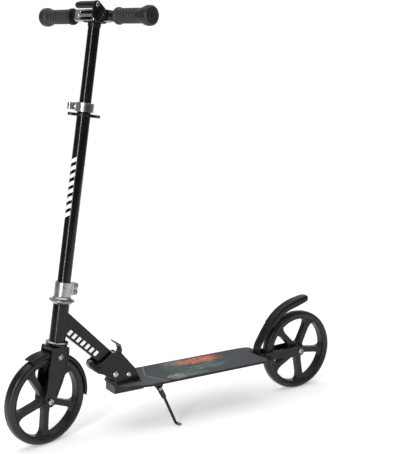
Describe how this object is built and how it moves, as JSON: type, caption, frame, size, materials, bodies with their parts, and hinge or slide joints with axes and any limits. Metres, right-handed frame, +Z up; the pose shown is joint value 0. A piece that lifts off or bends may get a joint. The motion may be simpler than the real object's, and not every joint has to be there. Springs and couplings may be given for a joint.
{
  "type": "folding kick scooter",
  "caption": "Folding two-wheeled kick scooter with large spoked wheels, a telescopic steering column, fold-down handles, a rear fender brake and a side stand.",
  "frame": {"origin": "on the ground at the middle of the scooter's box", "axes": "+Z up, +Y towards the scooter's right side, -X towards the front wheel"},
  "size_m": [0.8897, 0.355, 0.9455],
  "materials": {
    "black_paint": "satin black powder coat",
    "deck_paint": "matt black powder coat",
    "black_plastic": "satin moulded",
    "grey_plastic": "matt moulded",
    "tyre": "matt polyurethane",
    "grip_rubber": "matt, ribbed",
    "grip_tape": "rough grit, printed with streaks",
    "silver": "brushed",
    "chrome": "polished",
    "steel": "zinc plated"
  },
  "bodies": {
    "deck": {"deck": "deck_paint", "deck_nose_cap": "grey_plastic", "grip_tape": "grip_tape", "fold_bracket": "black_paint", "bracket_bolt_left": "silver", "bracket_bolt_right": "silver", "fold_pivot": "silver", "stop_bolt": "black_paint", "stop_buffer": "black_plastic", "rear_arm_left": "black_paint", "rear_arm_right": "black_paint", "rear_axle": "silver", "brake_pin": "steel", "stand_bracket": "black_paint", "stand_pin": "steel"},
    "rear_wheel": {"rear_tyre": "tyre", "rear_rim": "black_plastic", "rear_bearing_left": "steel", "rear_bearing_right": "steel"},
    "brake": {"brake_fender": "black_plastic"},
    "stand": {"side_stand": "black_paint"},
    "front_frame": {"neck": "black_paint", "head_tube": "black_paint", "headset_cup_upper": "silver", "headset_cup_lower": "silver", "release_pin": "steel"},
    "release": {"release_lever": "steel"},
    "steering": {"steerer": "steel", "fork_crown": "black_paint", "fork_leg_left": "black_paint", "fork_leg_right": "black_paint", "front_axle": "silver", "fender_bolt_left": "silver", "fender_bolt_right": "silver", "front_fender": "black_plastic", "headset_cap": "silver", "lower_collar": "silver", "collar_bolt_lower": "steel", "collar_bolt_upper": "steel", "lower_column": "black_paint", "handle_clip": "black_plastic", "height_clamp": "silver", "clamp_bolt": "steel"},
    "front_wheel": {"front_tyre": "tyre", "front_rim": "black_plastic", "front_bearing_left": "steel", "front_bearing_right": "steel"},
    "clamp": {"clamp_lever": "silver"},
    "button": {"height_button": "steel"},
    "mast": {"upper_column": "black_paint", "tee_head": "black_plastic", "tee_strap": "chrome", "handle_pin_left": "black_paint", "handle_pin_right": "steel", "lock_bolt": "silver"},
    "left_bar": {"left_handle": "black_paint", "left_grip": "grip_rubber"},
    "right_bar": {"right_handle": "chrome", "right_grip": "grip_rubber"},
    "lock": {"lock_lever": "black_plastic"}
  },
  "joints": [
    {"name": "rear_wheel_spin", "type": "hinge", "parent": "deck", "child": "rear_wheel", "pos_m": [0.3449, 0, 0.1], "axis": [0, 1, 0], "continuous": true},
    {"name": "brake_press", "type": "hinge", "parent": "deck", "child": "brake", "pos_m": [0.226, 0, 0.0966], "axis": [0, 1, 0], "range_deg": [0, 2], "stiffness_Nm_per_rad": 8},
    {"name": "stand_swing", "type": "hinge", "parent": "deck", "child": "stand", "pos_m": [-0.0898, -0.053, 0.0925], "axis": [0, -1, 0], "range_deg": [0, 65]},
    {"name": "fold", "type": "hinge", "parent": "deck", "child": "front_frame", "pos_m": [-0.1852, 0, 0.1335], "axis": [0, 1, 0], "range_deg": [0, 80]},
    {"name": "release_press", "type": "hinge", "parent": "front_frame", "child": "release", "pos_m": [-0.1728, 0, 0.166], "axis": [0, 1, 0], "range_deg": [0, 7], "stiffness_Nm_per_rad": 0.4},
    {"name": "steer", "type": "hinge", "parent": "front_frame", "child": "steering", "pos_m": [-0.33315, 0, 0.09811], "axis": [0.1495, 0, 0.9888], "range_deg": [-57, 32]},
    {"name": "front_wheel_spin", "type": "hinge", "parent": "steering", "child": "front_wheel", "pos_m": [-0.34617, -0.00297, 0.10008], "axis": [-0.2174, 0.9755, 0.0329], "continuous": true},
    {"name": "clamp_open", "type": "hinge", "parent": "steering", "child": "clamp", "pos_m": [-0.2678, 0.0087, 0.72843], "axis": [0.1495, 0, 0.9888], "range_deg": [0, 110]},
    {"name": "button_push", "type": "slide", "parent": "steering", "child": "button", "axis": [-0.9646, -0.2198, 0.1459], "range_m": [0, 0.0022], "stiffness_N_per_m": 800},
    {"name": "height", "type": "slide", "parent": "steering", "child": "mast", "axis": [0.1495, 0, 0.9888], "range_m": [-0.144, 0]},
    {"name": "left_bar_fold", "type": "hinge", "parent": "mast", "child": "left_bar", "pos_m": [-0.20158, -0.03707, 0.91219], "axis": [0.9646, 0.2198, -0.1459], "range_deg": [0, 90]},
    {"name": "right_bar_fold", "type": "hinge", "parent": "mast", "child": "right_bar", "pos_m": [-0.2181, 0.03707, 0.91469], "axis": [-0.9646, -0.2198, 0.1459], "range_deg": [0, 90]},
    {"name": "lock_turn", "type": "hinge", "parent": "mast", "child": "lock", "pos_m": [-0.22286, -0.00367, 0.93635], "axis": [-0.2174, 0.9755, 0.0329], "range_deg": [0, 60]}
  ]
}
